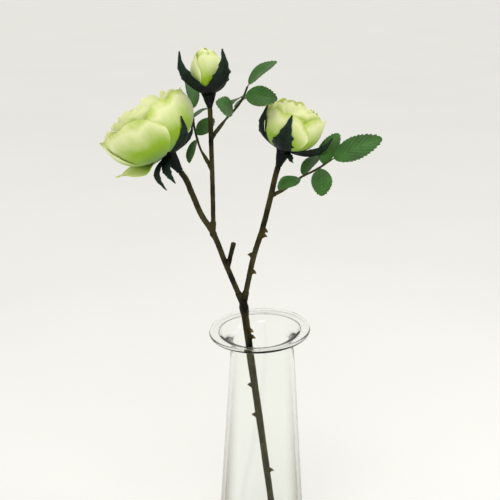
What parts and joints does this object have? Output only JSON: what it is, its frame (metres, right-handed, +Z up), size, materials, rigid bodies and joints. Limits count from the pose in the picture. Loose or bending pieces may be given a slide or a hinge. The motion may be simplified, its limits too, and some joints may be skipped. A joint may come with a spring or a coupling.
{
  "type": "flower vase",
  "caption": "Tall tapering clear glass vase with a broad flat lip, holding one tall artificial rose spray with open rose, half-open rose, bud and leaf sprigs that push on and turn.",
  "frame": {"origin": "centre of the vase's foot, on the surface it stands on", "axes": "+Z up along the vase's axis, -Y the front, to which the spray leans, +X to the side of the half-open rose"},
  "size_m": [0.1944, 0.1131, 0.4726],
  "materials": {
    "clear_glass": "polished, colourless",
    "steel_wire": "drawn",
    "stem_plastic": "moulded, brown over olive green",
    "stalk_plastic": "moulded, olive",
    "leaf_fabric": "coated polyester, veined",
    "calyx_plastic": "moulded, very dark green",
    "core_foam": "foam, lime",
    "petal_fabric": "stiffened polyester silk, ivory to lime"
  },
  "bodies": {
    "vase": {"glass_vase": "clear_glass"},
    "spray": {"centre_branch": "stem_plastic", "centre_branch_wire": "steel_wire", "left_branch": "stem_plastic", "left_branch_wire": "steel_wire", "main_stem": "stem_plastic", "main_stem_wire": "steel_wire", "right_branch": "stem_plastic", "right_branch_wire": "steel_wire"},
    "large_rose": {"large_calyx": "calyx_plastic", "large_core": "core_foam", "large_guard_petal": "petal_fabric", "large_hip": "calyx_plastic", "large_inner_petals": "petal_fabric", "large_outer_petals": "petal_fabric", "large_second_petals": "petal_fabric", "large_third_petals": "petal_fabric"},
    "half_open_rose": {"half_open_calyx": "calyx_plastic", "half_open_core": "core_foam", "half_open_hip": "calyx_plastic", "half_open_inner_petals": "petal_fabric", "half_open_middle_petals": "petal_fabric", "half_open_outer_petals": "petal_fabric"},
    "bud": {"bud_calyx": "calyx_plastic", "bud_core": "core_foam", "bud_hip": "calyx_plastic", "bud_inner_petals": "petal_fabric", "bud_outer_petals": "petal_fabric"},
    "right_sprig": {"right_sprig_end_leaflet": "leaf_fabric", "right_sprig_far_lower_leaflet": "leaf_fabric", "right_sprig_far_upper_leaflet": "leaf_fabric", "right_sprig_near_lower_leaflet": "leaf_fabric", "right_sprig_near_upper_leaflet": "leaf_fabric", "right_sprig_stalk": "stalk_plastic"},
    "upper_sprig": {"upper_sprig_end_leaflet": "leaf_fabric", "upper_sprig_far_lower_leaflet": "leaf_fabric", "upper_sprig_far_upper_leaflet": "leaf_fabric", "upper_sprig_near_lower_leaflet": "leaf_fabric", "upper_sprig_near_upper_leaflet": "leaf_fabric", "upper_sprig_stalk": "stalk_plastic"},
    "left_sprig": {"left_sprig_end_leaflet": "leaf_fabric", "left_sprig_far_lower_leaflet": "leaf_fabric", "left_sprig_far_upper_leaflet": "leaf_fabric", "left_sprig_near_lower_leaflet": "leaf_fabric", "left_sprig_near_upper_leaflet": "leaf_fabric", "left_sprig_stalk": "stalk_plastic"}
  },
  "joints": [
    {"name": "spray_lift", "type": "slide", "parent": "vase", "child": "spray", "axis": [-0.1159, -0.1479, 0.9822], "range_m": [0, 0.25]},
    {"name": "large_rose_turn", "type": "hinge", "parent": "spray", "child": "large_rose", "pos_m": [-0.0579, -0.0432, 0.3896], "axis": [-0.5689, 0.0799, 0.8185], "range_deg": [-60, 45]},
    {"name": "half_open_rose_turn", "type": "hinge", "parent": "spray", "child": "half_open_rose", "pos_m": [0.0103, -0.0194, 0.3876], "axis": [0.2999, 0.05, 0.9527], "range_deg": [-60, 60]},
    {"name": "bud_turn", "type": "hinge", "parent": "spray", "child": "bud", "pos_m": [-0.0372, -0.0395, 0.433], "axis": [-0.062, -0.02, 0.9979], "range_deg": [-90, 90]},
    {"name": "right_sprig_turn", "type": "hinge", "parent": "spray", "child": "right_sprig", "pos_m": [0.00503, -0.02091, 0.366], "axis": [0.8712, -0.1001, 0.4806], "range_deg": [-40, 4]},
    {"name": "upper_sprig_turn", "type": "hinge", "parent": "spray", "child": "upper_sprig", "pos_m": [-0.0368, -0.0382, 0.412], "axis": [0.621, 0.1402, 0.7712], "range_deg": [-12, 50]},
    {"name": "left_sprig_turn", "type": "hinge", "parent": "spray", "child": "left_sprig", "pos_m": [-0.03662, -0.03661, 0.39], "axis": [-0.4993, 0.3994, 0.7689], "range_deg": [-12, 6]}
  ]
}
